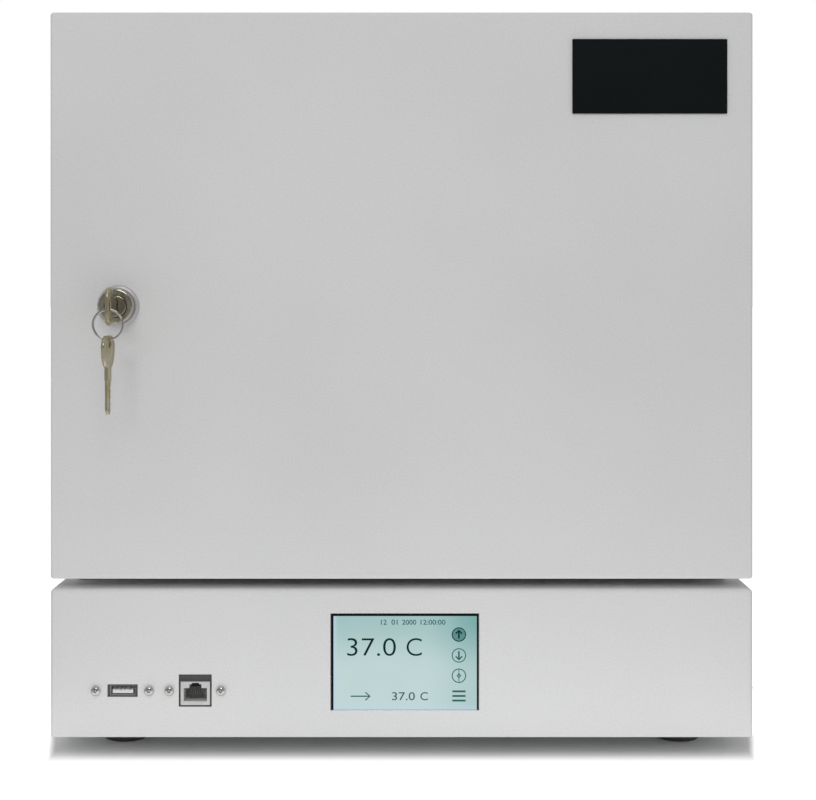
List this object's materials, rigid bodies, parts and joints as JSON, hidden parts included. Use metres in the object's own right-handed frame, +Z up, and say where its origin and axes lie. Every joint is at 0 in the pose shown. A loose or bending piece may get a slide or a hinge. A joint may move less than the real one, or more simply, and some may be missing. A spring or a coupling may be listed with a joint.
{
  "type": "refrigerated incubator",
  "caption": "Bench-top refrigerated incubator: insulated cabinet with a keyed front door on a piano hinge, over a base with display, data sockets, power supply and rubber feet.",
  "frame": {"origin": "on the table, under the middle of the whole object, keys and rocker included", "axes": "+Z up; -Y is the front, where the door, display and sockets are; +X is the hinge side"},
  "size_m": [0.3672, 0.441, 0.3832],
  "materials": {
    "powder_coat": "fine orange-peel powder coat, pale grey",
    "zinc_sheet": "zinc plated sheet and fittings",
    "stainless": "brushed stainless steel",
    "heat_sink_aluminium": "extruded aluminium",
    "nickel": "polished nickel plate",
    "key_metal": "worn nickel plate on brass",
    "liner_plastic": "white drawn plastic sheet",
    "foam": "rigid foam",
    "foot_rubber": "matt black rubber",
    "gasket_vinyl": "soft grey vinyl",
    "black_plastic": "moulded black plastic",
    "circuit_board": "green circuit board",
    "ceramic": "white ceramic",
    "screen": "glossy screen, pale teal when lit",
    "badge": "plain black label"
  },
  "bodies": {
    "cabinet": {"base_cover": "powder_coat", "cabinet_shell": "powder_coat", "rear_panel": "powder_coat", "base_pan": "zinc_sheet", "power_supply": "zinc_sheet", "strike_box": "zinc_sheet", "chamber_liner": "stainless", "air_baffle": "stainless", "shelf_rack_left": "stainless", "shelf_rack_right": "stainless", "shelf_lower": "stainless", "shelf_upper": "stainless", "inner_fan_guard": "stainless", "rear_fan_guard": "stainless", "temperature_probe": "stainless", "hinge_leaf_cabinet": "stainless", "hinge_pin": "stainless", "lcd_module": "stainless", "usb_jack": "stainless", "ethernet_jack": "stainless", "cold_sink": "heat_sink_aluminium", "cold_block": "heat_sink_aluminium", "hot_sink": "heat_sink_aluminium", "port_screw_1": "nickel", "port_screw_2": "nickel", "port_screw_3": "nickel", "port_screw_4": "nickel", "cabinet_insulation": "foam", "foot_front_left": "foot_rubber", "foot_front_right": "foot_rubber", "foot_rear_left": "foot_rubber", "foot_rear_right": "foot_rubber", "switch_housing": "black_plastic", "power_inlet": "black_plastic", "inner_fan_frame": "black_plastic", "rear_fan_frame": "black_plastic", "control_board": "circuit_board", "thermoelectric_module": "ceramic", "display_glass": "screen"},
    "door": {"door_skin": "powder_coat", "door_insulation": "foam", "door_liner": "liner_plastic", "door_gasket": "gasket_vinyl", "badge_plate": "badge", "hinge_leaf_door": "stainless", "lock_body": "nickel", "lock_nut": "zinc_sheet"},
    "lock_plug": {"lock_plug": "nickel", "lock_cam": "zinc_sheet", "cam_screw": "zinc_sheet"},
    "key": {"key": "key_metal"},
    "key_ring": {"key_ring": "nickel"},
    "spare_key": {"spare_key": "key_metal"},
    "inner_fan_rotor": {"inner_fan_rotor": "black_plastic"},
    "rear_fan_rotor": {"rear_fan_rotor": "black_plastic"},
    "switch_rocker": {"switch_rocker": "black_plastic"}
  },
  "joints": [
    {"name": "door_hinge", "type": "hinge", "parent": "cabinet", "child": "door", "pos_m": [0.17565, -0.15935, 0.0982], "axis": [0, 0, 1], "range_deg": [0, 120]},
    {"name": "lock_turn", "type": "hinge", "parent": "door", "child": "lock_plug", "pos_m": [-0.1457, -0.182, 0.2318], "axis": [0, 1, 0], "range_deg": [0, 90]},
    {"name": "key_slide", "type": "slide", "parent": "lock_plug", "child": "key", "axis": [0, -1, 0], "range_m": [0, 0.018]},
    {"name": "key_ring_swing", "type": "hinge", "parent": "key", "child": "key_ring", "pos_m": [-0.1457, -0.2105, 0.2302], "axis": [-1, 0, 0], "range_deg": [-12, 75]},
    {"name": "spare_key_swing", "type": "hinge", "parent": "key_ring", "child": "spare_key", "pos_m": [-0.1457, -0.2105, 0.2153], "axis": [-1, 0, 0], "range_deg": [-15, 60]},
    {"name": "inner_fan_spin", "type": "hinge", "parent": "cabinet", "child": "inner_fan_rotor", "pos_m": [0, 0.0759, 0.23185], "axis": [0, 1, 0], "continuous": true},
    {"name": "rear_fan_spin", "type": "hinge", "parent": "cabinet", "child": "rear_fan_rotor", "pos_m": [0, 0.204, 0.23185], "axis": [0, 1, 0], "continuous": true},
    {"name": "power_rocker", "type": "hinge", "parent": "cabinet", "child": "switch_rocker", "pos_m": [0.178, -0.152, 0.037], "axis": [0, 1, 0], "range_deg": [0, 18]}
  ]
}
